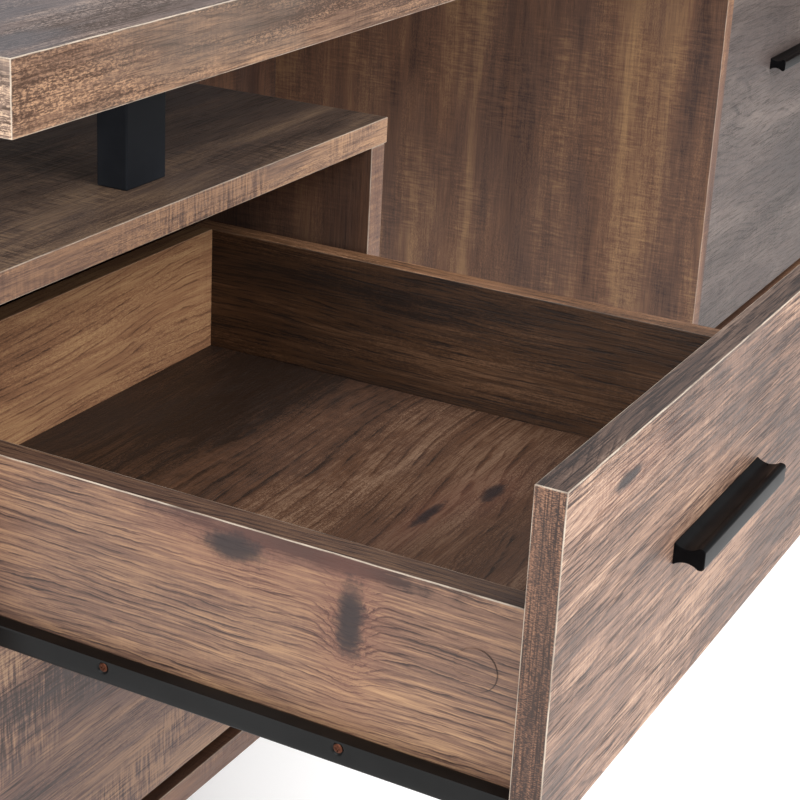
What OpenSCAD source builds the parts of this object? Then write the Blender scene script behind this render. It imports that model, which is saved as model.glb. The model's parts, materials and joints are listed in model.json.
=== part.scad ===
// L-shaped corner desk: two raised worktops on black steel, over two drawer cabinets.
// Millimetres. Z is up, the floor is z = 0, and the drawers open towards -Y.

/* [Worktops] */
// Height of the worktop surface above the floor
desk_h = 755; // [720:1:790]
// Thickness of both worktops
slab_t = 38; // [30:1:50]
// Depth of the main worktop, front to back
main_d = 610; // [560:1:720]
// Length of the side return, along Y
return_l = 1450; // [1200:1:1700]
// Depth of the side return, along X
return_d = 450; // [400:1:600]
// Overhang of the main worktop in front of the cabinets
front_over = 60; // [30:1:90]
// Overhang of the main worktop past the ends of the cabinets
end_over = 2; // [0:1:30]
// Gap between the two worktops at the seam
seam = 0.5; // [0:0.1:2]

/* [Cabinets] */
// Width of each cabinet across its top board
cab_w = 476; // [400:1:560]
// Height of each cabinet without its base
cab_h = 419; // [380:1:460]
// Depth of each cabinet
cab_d = 541; // [500:1:560]
// Clear width between the two cabinet tops
knee_w = 705; // [600:1:900]
// Thickness of the cabinet boards
panel_t = 18; // [15:0.5:22]
// Overhang of a cabinet top past its side boards
top_over = 3; // [1:0.5:6]
// Thickness of the thin back boards
back_t = 5; // [3:0.5:8]
// Height of the modesty panel
modesty_h = 320; // [200:1:380]

/* [Steelwork] */
// Gap between the cabinet tops and the worktop, filled by the posts
post_h = 92; // [70:1:130]
// Width of a post, along X
post_w = 40; // [30:1:50]
// Depth of a post, along Y
post_d = 22; // [20:1:30]
// Distance of the posts from the front and back edges of a cabinet
post_inset = 34.5; // [25:0.5:80]
// Width of the leg tube, along Y
tube_w = 40; // [30:1:50]
// Thickness of the leg tube
tube_t = 20; // [15:1:25]
// Distance of the front base frames from the front of a cabinet
base_front = 150; // [100:1:180]
// Distance of the rear base frames from the back of a cabinet
base_rear = 110; // [60:1:150]
// Distance of the base frames from the ends of a cabinet
base_side = 40; // [20:1:80]
// Diameter of the levelling glides
glide_dia = 28; // [20:1:36]
// Height of the levelling glides
glide_h = 6; // [4:1:10]
// Height of the modesty panel on the return
return_modesty_h = 320; // [200:1:500]

/* [Drawers] */
// Thickness of the drawer fronts
front_t = 16; // [15:0.5:20]
// Gap above each drawer front
front_gap = 4; // [2:0.5:5]
// Gap between the lowest drawer front and the bottom board
foot_gap = 9; // [4:0.5:12]
// Gap at each end of a drawer front
end_gap = 2; // [1:0.5:3]
// How far the fronts sit behind the cabinet edges
front_recess = 2; // [0:0.5:5]
// Thickness of the drawer side and back boards
box_t = 16; // [12:0.5:18]
// Length of the drawer boxes, front to back
box_l = 446; // [400:1:450]
// Drop from the top of a front to the top of its drawer sides
box_drop = 67; // [30:1:80]
// Rise from the bottom of a front to the bottom of its drawer sides
box_rise = 4; // [3.5:0.5:8]
// Thickness of the drawer bottoms
floor_t = 4; // [3:0.5:6]
// Height of a drawer bottom above the bottom edge of its sides
floor_rise = 20; // [20:1:30]
// Depth of the grooves that hold a drawer bottom
groove_d = 6; // [4:0.5:7]
// Length of a drawer box that stays in the cabinet when the drawer is fully out
stay_in = 108; // [90:1:146]

/* [Runners] */
// Clear space between a drawer side and its cabinet side
runner_gap = 13; // [12.5:0.5:14]
// Thickness of the runner steel
steel_t = 1.2; // [1:0.1:1.5]
// Height of the drawer member of a runner
runner_h = 19.5; // [18:0.5:24]
// Reach of the flanges of the drawer member
flange_w = 8.5; // [7:0.5:9]
// Diameter of the nylon rollers
roller_dia = 15; // [14:0.5:16]
// Width of the nylon rollers
roller_w = 7; // [5:0.5:7]
// Diameter of the roller pins
pin_dia = 4; // [3:0.5:5]
// Distance of each roller from the end of its runner
roller_end = 20; // [15:1:30]
// Diameter of the runner screws
screw_dia = 3.5; // [3:0.5:4]
// Length of a runner screw in the board
screw_l = 11; // [8:1:12]
// Distance of the first runner screw behind the drawer front
screw_front = 96; // [60:1:110]
// Distance of the middle runner screw behind the drawer front
screw_middle = 237; // [150:1:260]
// Distance of the last runner screw from the rear end of the drawer box
screw_rear = 46; // [30:1:60]

/* [Handles] */
// Length of a handle
handle_l = 130; // [96:1:200]
// Reach of a handle from the drawer front
handle_reach = 17; // [16:0.5:22]
// Height of a handle at its lip
handle_h = 12; // [11:0.5:14]
// Height of a handle at its waist
handle_waist = 7.5; // [6:0.5:8]
// How far the lower drawer's handle sits above the middle of its front
lower_handle_up = 9; // [0:1:20]
// Distance between the two handle screws
handle_cc = 96; // [64:16:128]
// Diameter of the handle screws
handle_screw = 4; // [3.5:0.5:4]

/* [Fastenings] */
// Diameter of the tie bolts that run up through the posts
bolt_dia = 6; // [5:1:8]
// Distance between the two tie bolts of a post
bolt_cc = 20; // [18:1:22]
// Depth of a tie bolt in the worktop
bolt_bite = 25; // [15:1:28]
// Length of a joining plate under the worktop seam
plate_l = 90; // [80:1:120]
// Width of a joining plate
plate_w = 40; // [30:1:60]
// Thickness of a joining plate
plate_t = 3; // [2:0.5:5]
// Clearance between a joining plate and the steelwork of the return
plate_clear = 5; // [2:1:10]
// Diameter of the round cap over each drawer fastener
cap_dia = 22; // [18:1:24]
// Thickness of a cap
cap_t = 0.4; // [0.3:0.1:0.8]
// Distance of a cap behind the drawer front
cap_y = 26; // [20:1:34]
// Distance of a cap below the top of the drawer side
cap_drop = 38; // [30:1:45]

/* [Hidden] */
$fn = 48;

drawer_names = ["upper", "lower", "file"];
drawer_parts = ["front", "side_left", "side_right", "back", "bottom", "handle",
    "runners", "rear_rollers", "screws", "caps", "cabinet_runners", "front_rollers"];
cab_names = ["cab_a", "cab_b"];
cab_parts = ["top", "left", "right", "bottom", "back", "base"];

// Colours
oak = "#8a6a50";
oak_dark = "#5b4231";
steel_black = "#1d1d1f";
nylon = "#d8d6cf";
zinc = "#9a7a55";

// Clearances
groove_play = 0.2;
bore_play = 0.15;
running_play = 0.05;
roller_play = 0.3;
side_play = 0.4;

// Runner travel and screw places
travel = box_l - stay_in;
screw_y = [screw_front, screw_middle, box_l - screw_rear];

// Levels
top_z = desk_h - slab_t;
cab_z1 = top_z - post_h;
cab_z0 = cab_z1 - cab_h;
inner_z1 = cab_z1 - panel_t;
inner_z0 = cab_z0 + panel_t;

// Plan, measured from the left end and the front edge of the main worktop
cab_x = [end_over, end_over + cab_w + knee_w];
cab_y = front_over;
main_l = 2 * end_over + 2 * cab_w + knee_w;
return_x = main_l + seam;
overall_x = return_x + return_d;
overall_y = return_l;

// The origin is on the floor, under the middle of the whole desk
origin_x = overall_x / 2;
origin_y = main_d - overall_y / 2;

// Cabinet insides
side_h = cab_h - panel_t;
inner_w = cab_w - 2 * top_over - 2 * panel_t;

// Drawers: [cabinet number, top of the front, height of the front, shown pulled out by]
half_front = (inner_z1 - inner_z0 - 2 * front_gap - foot_gap) / 2;
front_w = inner_w - 2 * end_gap;
drawer_data = [
    [0, inner_z1 - front_gap, half_front, travel],
    [0, inner_z1 - 2 * front_gap - half_front, half_front, 0],
    [1, inner_z1 - front_gap, inner_z1 - inner_z0 - front_gap - foot_gap, 0]
];
handle_drop = half_front / 2;
function handle_z(i) = d_top(i) - handle_drop + (i == 1 ? lower_handle_up : 0);
box_w = inner_w - 2 * runner_gap;

function d_cab(i) = drawer_data[i][0];
function d_top(i) = drawer_data[i][1];
function d_h(i) = drawer_data[i][2];
function d_out(i) = drawer_data[i][3];
function d_x(i) = cab_x[d_cab(i)] + top_over + panel_t;
function d_y(i) = cab_y + front_recess - d_out(i);
function box_z1(i) = d_top(i) - box_drop;
function box_z0(i) = d_top(i) - d_h(i) + box_rise;
function side_x(i) = d_x(i) + runner_gap;

// Runner levels above the bottom edge of a drawer side
web_low = -steel_t;
flange_top = web_low + runner_h;
track_z = web_low + 0.5;
rear_axis_z = track_z + roller_play + roller_dia / 2;
front_axis_z = flange_top - steel_t - roller_play - roller_dia / 2;
channel_top = flange_top + 0.8;
channel_w = runner_gap - 3.5;
member_l = box_l - 2;
screw_z = 8;

// Places all pieces around the origin
module placed() {
    translate([-origin_x, -origin_y, 0]) children();
}

// A board from its low corner and its size
module board(p, s) {
    translate(p) cube(s);
}

// A rod along X, starting at p
module rod_x(p, d, l) {
    translate(p) rotate([0, 90, 0]) cylinder(d = d, h = l);
}

// A rod along Y, starting at p
module rod_y(p, d, l) {
    translate(p) rotate([-90, 0, 0]) cylinder(d = d, h = l);
}

// A pan-headed screw along +X, with the underside of its head at x = 0
module screw_x(d, l) {
    rod_x([0, 0, 0], d, l);
    rod_x([-0.45 * d, 0, 0], 2 * d, 0.45 * d);
}

// ---------- worktops ----------

post_x = [for (c = cab_x) c + cab_w / 2];
post_y = [cab_y + post_inset, cab_y + cab_d - post_inset - post_d];
plate_y = [main_d / 4, 3 * main_d / 4];
plate_hole_x = [-0.38 * plate_l, -0.15 * plate_l, 0.15 * plate_l, 0.38 * plate_l];
plate_screw_l = 16;
plate_screw_d = 4;

// Centres of the tie bolts, two to a post
bolt_places = [
    for (x = post_x) for (y = post_y) for (s = [-1, 1])
        [x + s * bolt_cc / 2, y + post_d / 2]
];

// Centres of the screws in the joining plates
plate_places = [
    for (y = plate_y) for (x = plate_hole_x) [main_l + seam / 2 + x, y]
];

module bolt_bores(z, l, d) {
    for (p = bolt_places) translate([p[0], p[1], z]) cylinder(d = d, h = l);
}

module plate_bores(z, l, d) {
    for (p = plate_places) translate([p[0], p[1], z]) cylinder(d = d, h = l);
}

module main_top() {
    color(oak) placed() difference() {
        board([0, 0, top_z], [main_l, main_d, slab_t]);
        bolt_bores(top_z - 1, bolt_bite + 2, bolt_dia + 2 * bore_play);
        plate_bores(top_z - 1, plate_screw_l + 2, plate_screw_d + 2 * bore_play);
    }
}

module return_top() {
    color(oak) placed() difference() {
        board([return_x, main_d - return_l, top_z], [return_d, return_l, slab_t]);
        plate_bores(top_z - 1, plate_screw_l + 2, plate_screw_d + 2 * bore_play);
    }
}

module joining_plates() {
    color(steel_black) placed() difference() {
        for (y = plate_y)
            board([main_l + seam / 2 - plate_l / 2, y - plate_w / 2, top_z - plate_t],
                [plate_l, plate_w, plate_t]);
        plate_bores(top_z - plate_t - 1, plate_t + 2, plate_screw_d + 2 * bore_play);
    }
}

module posts() {
    color(steel_black) placed() difference() {
        for (x = post_x) for (y = post_y)
            board([x - post_w / 2, y, cab_z1], [post_w, post_d, post_h]);
        bolt_bores(cab_z1 - 1, post_h + 2, bolt_dia + 2 * bore_play);
    }
}

module worktop_bolts() {
    head_h = 0.6 * bolt_dia;
    color(zinc) placed() {
        for (p = bolt_places) {
            translate([p[0], p[1], inner_z1])
                cylinder(d = bolt_dia, h = panel_t + post_h + bolt_bite);
            translate([p[0], p[1], inner_z1 - head_h]) cylinder(d = 2 * bolt_dia, h = head_h);
        }
        for (p = plate_places) {
            translate([p[0], p[1], top_z - plate_t])
                cylinder(d = plate_screw_d, h = plate_t + plate_screw_l);
            translate([p[0], p[1], top_z - plate_t - 0.5 * plate_screw_d])
                cylinder(d = 2 * plate_screw_d, h = 0.5 * plate_screw_d);
        }
    }
}

// ---------- cabinets ----------

// Pilot holes for the cabinet members of the runners, in the side at x, opening towards s
module side_pilots(c, x, s) {
    for (i = [0:2]) if (d_cab(i) == c) for (y = screw_y)
        translate([x, cab_y + front_recess + front_t + y, box_z0(i) + screw_z])
            rotate([0, 90 * s, 0])
                translate([0, 0, -1])
                    cylinder(d = screw_dia + 2 * bore_play, h = screw_l + 2);
}

module cab_top(c) {
    color(oak) placed() difference() {
        board([cab_x[c], cab_y, inner_z1], [cab_w, cab_d, panel_t]);
        bolt_bores(inner_z1 - 1, panel_t + 2, bolt_dia + 2 * bore_play);
    }
}

module cab_left(c) {
    x = cab_x[c] + top_over;
    color(oak) placed() difference() {
        board([x, cab_y, cab_z0], [panel_t, cab_d, side_h]);
        side_pilots(c, x + panel_t, -1);
    }
}

module cab_right(c) {
    x = cab_x[c] + cab_w - top_over - panel_t;
    color(oak) placed() difference() {
        board([x, cab_y, cab_z0], [panel_t, cab_d, side_h]);
        side_pilots(c, x, 1);
    }
}

module cab_bottom(c) {
    color(oak) placed()
        board([cab_x[c] + top_over + panel_t, cab_y, cab_z0], [inner_w, cab_d, panel_t]);
}

module cab_back(c) {
    color(oak_dark) placed()
        board([cab_x[c] + top_over + panel_t, cab_y + cab_d - back_t, inner_z0],
            [inner_w, back_t, inner_z1 - inner_z0]);
}

// A welded frame of tube in the XZ plane, with its low corner at p
module frame_xz(p, w, h) {
    difference() {
        board(p, [w, tube_w, h]);
        board([p[0] + tube_t, p[1] - 1, p[2] + tube_t], [w - 2 * tube_t, tube_w + 2, h - 2 * tube_t]);
    }
}

base_w = cab_w - 2 * base_side;
base_y = [cab_y + base_front, cab_y + cab_d - base_rear - tube_w];

module cab_base(c) {
    color(steel_black) placed() for (y = base_y)
        frame_xz([cab_x[c] + base_side, y, glide_h], base_w, cab_z0 - glide_h);
}

module modesty_panel() {
    x = cab_x[0] + cab_w - top_over;
    color(oak) placed()
        board([x, cab_y + cab_d - panel_t, inner_z1 - modesty_h],
            [cab_x[1] + top_over - x, panel_t, modesty_h]);
}

// ---------- side return ----------

return_side = plate_l / 2 + plate_clear;
return_leg_x = return_x + return_side;
return_leg_w = return_d - 2 * return_side;
return_leg_y = [main_d - return_l + 50, main_d - 50 - tube_w];
return_rail_x = [return_leg_x, return_leg_x + return_leg_w - tube_t];
rail_h = 30;

module return_leg(i) {
    color(steel_black) placed()
        frame_xz([return_leg_x, return_leg_y[i], glide_h], return_leg_w, top_z - glide_h);
}

module return_rails() {
    color(steel_black) placed() for (x = return_rail_x)
        board([x, return_leg_y[0] + tube_w, top_z - rail_h],
            [tube_t, return_leg_y[1] - return_leg_y[0] - tube_w, rail_h]);
}

module return_modesty() {
    color(oak) placed()
        board([return_rail_x[1] - panel_t, return_leg_y[0] + tube_w, top_z - return_modesty_h],
            [panel_t, return_leg_y[1] - return_leg_y[0] - tube_w, return_modesty_h]);
}

// Centres of the glides, one near each end of every frame that stands on the floor
glide_places = [
    for (c = cab_x) for (y = base_y) for (s = [0, 1])
        [c + base_side + glide_dia / 2 + s * (base_w - glide_dia), y + tube_w / 2],
    for (y = return_leg_y) for (s = [0, 1])
        [return_leg_x + glide_dia / 2 + s * (return_leg_w - glide_dia), y + tube_w / 2]
];

module glides() {
    color(steel_black) placed()
        for (p = glide_places) translate([p[0], p[1], 0]) cylinder(d = glide_dia, h = glide_h);
}

// ---------- runners ----------

// Puts a left-hand piece on both sides of the drawer box i
module both_sides(i) {
    children();
    translate([2 * side_x(i) + box_w, 0, 0]) mirror([1, 0, 0]) children();
}

// The cabinet member: a channel on the inner face of the cabinet side
module cabinet_channel(i) {
    x = d_x(i);
    y = cab_y + front_recess + front_t + 2;
    z = box_z0(i);
    difference() {
        union() {
            board([x, y, z + track_z - steel_t], [steel_t, member_l, channel_top - track_z + 2 * steel_t]);
            board([x, y, z + track_z - steel_t], [channel_w, member_l, steel_t]);
            board([x, y, z + channel_top], [channel_w, member_l, steel_t]);
            rod_x([x, y + roller_end, z + front_axis_z], pin_dia, steel_t + 2 * side_play + roller_w);
            rod_x([x + steel_t + 2 * side_play + roller_w, y + roller_end, z + front_axis_z],
                1.6 * pin_dia, 0.7);
        }
        for (s = screw_y)
            rod_x([x - 1, cab_y + front_recess + front_t + s, z + screw_z],
                screw_dia + 2 * bore_play, steel_t + 2);
    }
}

module front_roller(i) {
    y = cab_y + front_recess + front_t + 2 + roller_end;
    roller([d_x(i) + steel_t + side_play, y, box_z0(i) + front_axis_z]);
}

// A nylon roller on an axis along X
module roller(p) {
    difference() {
        rod_x(p, roller_dia, roller_w);
        rod_x([p[0] - 1, p[1], p[2]], pin_dia + 2 * running_play, roller_w + 2);
    }
}

// The drawer member: a web on the drawer side, a flange out over the front roller, a lip under the side
module drawer_member(i) {
    x = side_x(i);
    y = d_y(i) + front_t + 1;
    z = box_z0(i);
    rear_y = y + member_l - roller_end;
    difference() {
        union() {
            board([x - steel_t, y, z + web_low], [steel_t, member_l, runner_h]);
            board([x - flange_w, y, z + flange_top - steel_t], [flange_w, member_l, steel_t]);
            board([x - steel_t, y, z + web_low], [steel_t + 10, member_l, steel_t]);
            rod_x([x - steel_t - 2 * side_play - roller_w, rear_y, z + rear_axis_z],
                pin_dia, steel_t + 2 * side_play + roller_w);
            rod_x([x - steel_t - 2 * side_play - roller_w - 0.7, rear_y, z + rear_axis_z],
                1.6 * pin_dia, 0.7);
        }
        for (s = screw_y)
            rod_x([x - steel_t - 1, d_y(i) + front_t + s, z + screw_z],
                screw_dia + 2 * bore_play, steel_t + 2);
    }
}

module rear_roller(i) {
    y = d_y(i) + front_t + 1 + member_l - roller_end;
    roller([side_x(i) - steel_t - side_play - roller_w, y, box_z0(i) + rear_axis_z]);
}

module runner_screws() {
    color(zinc) placed() for (i = [0:2]) both_sides(i) for (s = screw_y)
        translate([d_x(i) + steel_t, cab_y + front_recess + front_t + s, box_z0(i) + screw_z])
            mirror([1, 0, 0]) screw_x(screw_dia, steel_t + screw_l);
}

// ---------- drawers ----------

module drawer_front(i) {
    z0 = d_top(i) - d_h(i);
    color(oak) placed() difference() {
        board([d_x(i) + end_gap, d_y(i), z0], [front_w, front_t, d_h(i)]);
        board([side_x(i) + box_t - groove_d, d_y(i) + front_t - groove_d,
                box_z0(i) + floor_rise - groove_play],
            [box_w - 2 * box_t + 2 * groove_d, groove_d + 1, floor_t + 2 * groove_play]);
        for (s = [-1, 1])
            rod_y([d_x(i) + inner_w / 2 + s * handle_cc / 2, d_y(i) - 1, handle_z(i)],
                handle_screw + 2 * bore_play, front_t + 2);
    }
}

module drawer_side(i) {
    difference() {
        board([side_x(i), d_y(i) + front_t, box_z0(i)], [box_t, box_l, box_z1(i) - box_z0(i)]);
        board([side_x(i) + box_t - groove_d, d_y(i) + front_t - 1,
                box_z0(i) + floor_rise - groove_play],
            [groove_d + 1, box_l + 2, floor_t + 2 * groove_play]);
        for (s = screw_y)
            rod_x([side_x(i) - 1, d_y(i) + front_t + s, box_z0(i) + screw_z],
                screw_dia + 2 * bore_play, screw_l + 2);
    }
}

module drawer_side_left(i) {
    color(oak) placed() drawer_side(i);
}

module drawer_side_right(i) {
    color(oak) placed()
        translate([2 * side_x(i) + box_w, 0, 0]) mirror([1, 0, 0]) drawer_side(i);
}

module drawer_back(i) {
    color(oak) placed() difference() {
        board([side_x(i) + box_t, d_y(i) + front_t + box_l - box_t, box_z0(i)],
            [box_w - 2 * box_t, box_t, box_z1(i) - box_z0(i)]);
        board([side_x(i) + box_t - 1, d_y(i) + front_t + box_l - box_t - 1,
                box_z0(i) + floor_rise - groove_play],
            [box_w - 2 * box_t + 2, groove_d + 1, floor_t + 2 * groove_play]);
    }
}

module drawer_bottom(i) {
    play = groove_play;
    color(oak_dark) placed()
        board([side_x(i) + box_t - groove_d + play, d_y(i) + front_t - groove_d + play,
                box_z0(i) + floor_rise],
            [box_w - 2 * box_t + 2 * groove_d - 2 * play,
                box_l - box_t + 2 * groove_d - 2 * play, floor_t]);
}

// Section of a handle: y runs out from the drawer front, z is up, and both faces are scooped
module handle_section() {
    scoop_r = 10;
    scoop_y = 0.42 * handle_reach;
    lip_r = 2;
    difference() {
        translate([0, -handle_h / 2]) square([handle_reach, handle_h]);
        for (s = [-1, 1]) {
            translate([scoop_y, s * (handle_waist / 2 + scoop_r)]) circle(r = scoop_r, $fn = 96);
            difference() {
                translate([handle_reach - lip_r, s * (handle_h / 2 - lip_r / 2) - lip_r / 2 - 0.01])
                    square([lip_r + 1, lip_r + 0.02]);
                translate([handle_reach - lip_r, s * (handle_h / 2 - lip_r)]) circle(r = lip_r);
            }
        }
    }
}

module drawer_handle(i) {
    color(steel_black) placed() difference() {
        translate([d_x(i) + inner_w / 2 + handle_l / 2, d_y(i), handle_z(i)])
            rotate([90, 0, -90]) linear_extrude(handle_l) handle_section();
        for (s = [-1, 1])
            rod_y([d_x(i) + inner_w / 2 + s * handle_cc / 2, d_y(i) - 0.6 * handle_reach,
                    handle_z(i)],
                handle_screw + 2 * bore_play, handle_reach);
    }
}

module drawer_runners(i) {
    color(steel_black) placed() both_sides(i) drawer_member(i);
}

module drawer_rear_rollers(i) {
    color(nylon) placed() both_sides(i) rear_roller(i);
}

module drawer_screws(i) {
    color(zinc) placed() {
        both_sides(i) for (s = screw_y)
            translate([side_x(i) - steel_t, d_y(i) + front_t + s, box_z0(i) + screw_z])
                screw_x(screw_dia, steel_t + screw_l);
        for (s = [-1, 1]) {
            x = d_x(i) + inner_w / 2 + s * handle_cc / 2;
            z = handle_z(i);
            rod_y([x, d_y(i) - 0.5 * handle_reach, z], handle_screw, 0.5 * handle_reach + front_t);
            rod_y([x, d_y(i) + front_t, z], 2 * handle_screw, 0.6 * handle_screw);
        }
    }
}

module drawer_caps(i) {
    color(oak) placed() both_sides(i)
        rod_x([side_x(i) - cap_t, d_y(i) + front_t + cap_y, box_z1(i) - cap_drop], cap_dia, cap_t);
}

module drawer_cabinet_runners(i) {
    color(steel_black) placed() both_sides(i) cabinet_channel(i);
}

module drawer_front_rollers(i) {
    color(nylon) placed() both_sides(i) front_roller(i);
}

// ---------- what is drawn ----------

main_top();
return_top();
joining_plates();
posts();
worktop_bolts();
for (c = [0, 1]) {
    n = cab_names[c];
    cab_top(c);
    cab_left(c);
    cab_right(c);
    cab_bottom(c);
    cab_back(c);
    cab_base(c);
}
modesty_panel();
return_leg(0);  // return_leg_front
return_leg(1);  // return_leg_rear
return_rails();
return_modesty();
glides();
runner_screws();
for (i = [0:2]) {
    n = drawer_names[i];
    drawer_front(i);
    drawer_side_left(i);
    drawer_side_right(i);
    drawer_back(i);
    drawer_bottom(i);
    drawer_handle(i);
    drawer_runners(i);
    drawer_rear_rollers(i);
    drawer_screws(i);
    drawer_caps(i);
    drawer_cabinet_runners(i);
    drawer_front_rollers(i);
}
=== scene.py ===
import bmesh
import bpy
import json
import math
import numpy as np
from mathutils import Matrix, Vector


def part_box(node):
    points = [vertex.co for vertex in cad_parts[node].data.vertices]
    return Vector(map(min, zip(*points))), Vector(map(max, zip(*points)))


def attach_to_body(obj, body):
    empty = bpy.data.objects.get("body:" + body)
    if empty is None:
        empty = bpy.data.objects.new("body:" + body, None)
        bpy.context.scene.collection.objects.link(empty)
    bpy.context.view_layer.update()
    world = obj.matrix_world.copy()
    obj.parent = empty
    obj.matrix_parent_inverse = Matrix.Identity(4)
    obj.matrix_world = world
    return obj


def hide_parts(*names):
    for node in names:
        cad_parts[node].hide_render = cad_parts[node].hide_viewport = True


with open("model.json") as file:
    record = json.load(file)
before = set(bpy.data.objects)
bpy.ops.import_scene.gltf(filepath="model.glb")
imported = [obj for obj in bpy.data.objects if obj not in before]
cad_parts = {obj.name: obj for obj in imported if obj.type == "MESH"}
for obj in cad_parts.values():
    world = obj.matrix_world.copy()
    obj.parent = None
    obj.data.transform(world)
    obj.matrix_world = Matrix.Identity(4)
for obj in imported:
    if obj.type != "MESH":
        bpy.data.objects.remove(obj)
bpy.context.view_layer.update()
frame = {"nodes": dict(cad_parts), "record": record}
cadNodes = frame["nodes"]
bodyNodes = frame["record"]["behaviour"]["bodies"]
print("model loaded:", len(cadNodes), "nodes")


def bodyOf(node):
    # the body whose list holds this node
    return next(body for body, members in bodyNodes.items() if node in members)


def linear(hexColour, alpha=1.0):
    # sRGB hex to scene-linear colour
    parts = np.array([int(hexColour[k:k + 2], 16) for k in (1, 3, 5)]) / 255
    parts = np.where(parts <= 0.04045, parts / 12.92, ((parts + 0.055) / 1.055) ** 2.4)
    return (*[float(p) for p in parts], alpha)


# camera, light and floor

camera = {
    "place": (-1.7365, -0.4400, 0.9492),
    "heading": 61.55,  # degrees from +Y towards +X
    "tilt": 21.36,  # degrees below the horizon
    "roll": 2.57,
    "lens": 87.44,
    "shift": (0.0497, -0.0363),
    "sensor": 36.0,
    "nearest": 0.05,
    "furthest": 60.0,
}


def makeCamera(settings):
    # looks along heading and tilt; its right and up are the level ones turned by the roll
    heading, tilt, roll = (math.radians(settings[k]) for k in ("heading", "tilt", "roll"))
    flat = math.cos(tilt)
    forward = Vector((math.sin(heading) * flat, math.cos(heading) * flat, -math.sin(tilt)))
    levelRight = Vector((math.cos(heading), -math.sin(heading), 0.0))
    levelUp = levelRight.cross(forward)
    right = levelRight * math.cos(roll) + levelUp * math.sin(roll)
    up = right.cross(forward)
    data = bpy.data.cameras.new("camera")
    data.lens = settings["lens"]
    data.sensor_width = settings["sensor"]
    data.shift_x, data.shift_y = settings["shift"]
    data.clip_start, data.clip_end = settings["nearest"], settings["furthest"]
    eye = bpy.data.objects.new("camera", data)
    turn = Matrix((right, up, -forward)).transposed().to_4x4()
    eye.matrix_world = Matrix.Translation(settings["place"]) @ turn
    bpy.context.collection.objects.link(eye)
    bpy.context.scene.camera = eye


light = {
    "sky": 0.55,
    "lamps": [
        # name, place, target, size, watts
        ("keyFront", (-1.4, -3.4, 3.0), (-0.8, 0.0, 0.5), 2.2, 150),
        ("leftFill", (-4.6, 0.2, 1.9), (-0.7, 0.1, 0.5), 2.6, 85),
        ("topSoft", (-0.5, -1.2, 4.2), (-0.5, -0.4, 0.5), 2.6, 80),
    ],
}


def makeLight(settings):
    # a white sky of one strength, and round lamps that each face their target
    world = bpy.data.worlds.new("studio")
    bpy.context.scene.world = world
    world.use_nodes = True
    background = world.node_tree.nodes["Background"]
    background.inputs["Color"].default_value = (1.0, 1.0, 1.0, 1.0)
    background.inputs["Strength"].default_value = settings["sky"]
    for name, place, target, size, watts in settings["lamps"]:
        data = bpy.data.lights.new(name, "AREA")
        data.shape = "DISK"
        data.size = size
        data.energy = watts
        lamp = bpy.data.objects.new(name, data)
        lamp.location = place
        lamp.rotation_mode = "QUATERNION"
        lamp.rotation_quaternion = (Vector(target) - Vector(place)).to_track_quat("-Z", "Y")
        bpy.context.collection.objects.link(lamp)
    bpy.context.scene.view_settings.view_transform = "Standard"


makeCamera(camera)
makeLight(light)
print("camera and light set")


# node helpers

def attach(tree, socket, value):
    # links a socket, or sets the plain value
    if isinstance(value, bpy.types.NodeSocket):
        tree.links.new(value, socket)
    else:
        socket.default_value = value


def fill(tree, node, values):
    # attaches each named input's value
    for label, value in values.items():
        attach(tree, node.inputs[label], value)


def calc(tree, operation, first, second=0.0, third=0.0, clamp=False):
    # one sum node: the operation on up to three values, held to 0..1 if clamped
    maths = tree.nodes.new("ShaderNodeMath")
    maths.operation = operation
    maths.use_clamp = clamp
    for k, value in enumerate((first, second, third)):
        attach(tree, maths.inputs[k], value)
    return maths.outputs[0]


def stretch(tree, vector, scale, shift=(0.0, 0.0, 0.0)):
    # vector times scale, plus shift
    mad = tree.nodes.new("ShaderNodeVectorMath")
    mad.operation = "MULTIPLY_ADD"
    attach(tree, mad.inputs[0], vector)
    mad.inputs[1].default_value = scale
    mad.inputs[2].default_value = shift
    return mad.outputs[0]


def cloud(tree, vector, detail=2.0, rough=0.5, warp=0.0):
    # layered noise of the vector, 0 to 1
    noise = tree.nodes.new("ShaderNodeTexNoise")
    fill(tree, noise, {"Vector": vector, "Scale": 1.0, "Detail": detail, "Roughness": rough,
                       "Distortion": warp})
    return noise.outputs[0]


def axesOf(tree, vector):
    # the three values of a vector
    split = tree.nodes.new("ShaderNodeSeparateXYZ")
    tree.links.new(vector, split.inputs[0])
    return split.outputs


def ease(tree, value, low, high, outLow=0.0, outHigh=1.0):
    # carries low..high to outLow..outHigh along a smooth step
    span = tree.nodes.new("ShaderNodeMapRange")
    span.interpolation_type = "SMOOTHSTEP"
    for k, v in enumerate((value, low, high, outLow, outHigh)):
        attach(tree, span.inputs[k], v)
    return span.outputs[0]


def mixColour(tree, amount, first, second, kind="MIX"):
    # first x (1 - amount) + (first blended with second by its kind) x amount
    mixer = tree.nodes.new("ShaderNodeMix")
    mixer.data_type = "RGBA"
    mixer.blend_type = kind
    mixer.clamp_factor = True
    fill(tree, mixer, {"Factor": amount, "A": first, "B": second})
    return mixer.outputs["Result"]


def roughen(tree, height, strength, distance):
    # the normal tilted by the slope of the height
    bump = tree.nodes.new("ShaderNodeBump")
    fill(tree, bump, {"Height": height, "Strength": strength, "Distance": distance})
    return bump.outputs["Normal"]


def newMaterial(name):
    # a material, its node tree and its shader
    material = bpy.data.materials.new(name)
    material.use_nodes = True
    return material, material.node_tree, material.node_tree.nodes["Principled BSDF"]


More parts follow.
